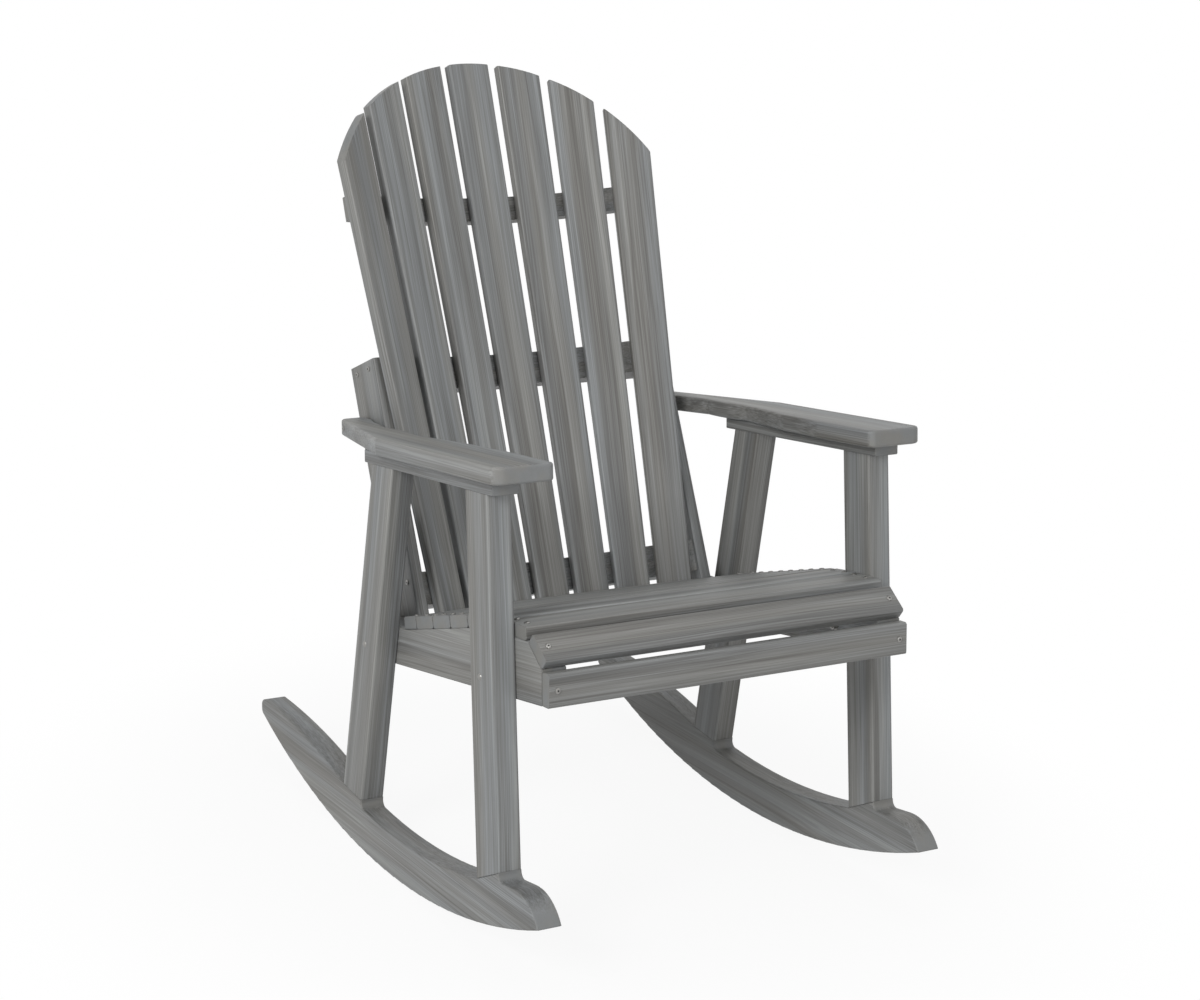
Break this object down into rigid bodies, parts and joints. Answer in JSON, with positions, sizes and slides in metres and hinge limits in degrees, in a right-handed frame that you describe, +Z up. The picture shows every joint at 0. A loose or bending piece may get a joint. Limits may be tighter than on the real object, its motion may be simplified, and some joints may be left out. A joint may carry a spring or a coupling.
{
  "type": "rocking adirondack chair",
  "caption": "Adirondack rocking chair of grey wood-grain lumber, with a fanned and arched slat back, a slatted seat, broad armrests and curved rockers.",
  "frame": {"origin": "on the floor, under the middle of the chair's width and depth", "axes": "+X is the sitter's left, -Y is the way the chair faces, +Z is up"},
  "size_m": [0.708, 0.9682, 1.1232],
  "materials": {
    "lumber": "grey recycled lumber with a fine brushed wood grain and a low sheen",
    "steel": "stainless steel"
  },
  "bodies": {
    "root": {"arm_screws": "steel", "arm_side_screws": "steel", "arm_support_left": "lumber", "arm_support_right": "lumber", "armrest_left": "lumber", "armrest_right": "lumber", "back_slat_1": "lumber", "back_slat_2": "lumber", "back_slat_3": "lumber", "back_slat_4": "lumber", "back_slat_5": "lumber", "back_slat_6": "lumber", "back_slat_7": "lumber", "back_slat_screws": "steel", "back_upright_left": "lumber", "back_upright_right": "lumber", "front_apron": "lumber", "front_board_screws": "steel", "front_leg_bolt_nuts": "steel", "front_leg_bolts": "steel", "front_leg_left": "lumber", "front_leg_right": "lumber", "lower_back_rail_lower": "lumber", "lower_back_rail_upper": "lumber", "mid_back_rail_lower": "lumber", "mid_back_rail_upper": "lumber", "nose_slat": "lumber", "rail_end_screws": "steel", "rail_stack_screws": "steel", "rear_leg_bolt_nuts": "steel", "rear_leg_bolts": "steel", "rear_leg_left": "lumber", "rear_leg_right": "lumber", "rocker_lag_screws": "steel", "rocker_left": "lumber", "rocker_right": "lumber", "seat_rail_left": "lumber", "seat_rail_right": "lumber", "seat_screws": "steel", "seat_slat_1": "lumber", "seat_slat_2": "lumber", "seat_slat_3": "lumber", "seat_slat_4": "lumber", "seat_slat_5": "lumber", "seat_slat_6": "lumber", "slanted_front_slat": "lumber", "support_screws": "steel", "top_back_rail": "lumber", "upright_foot_screws": "steel"}
  },
  "joints": []
}
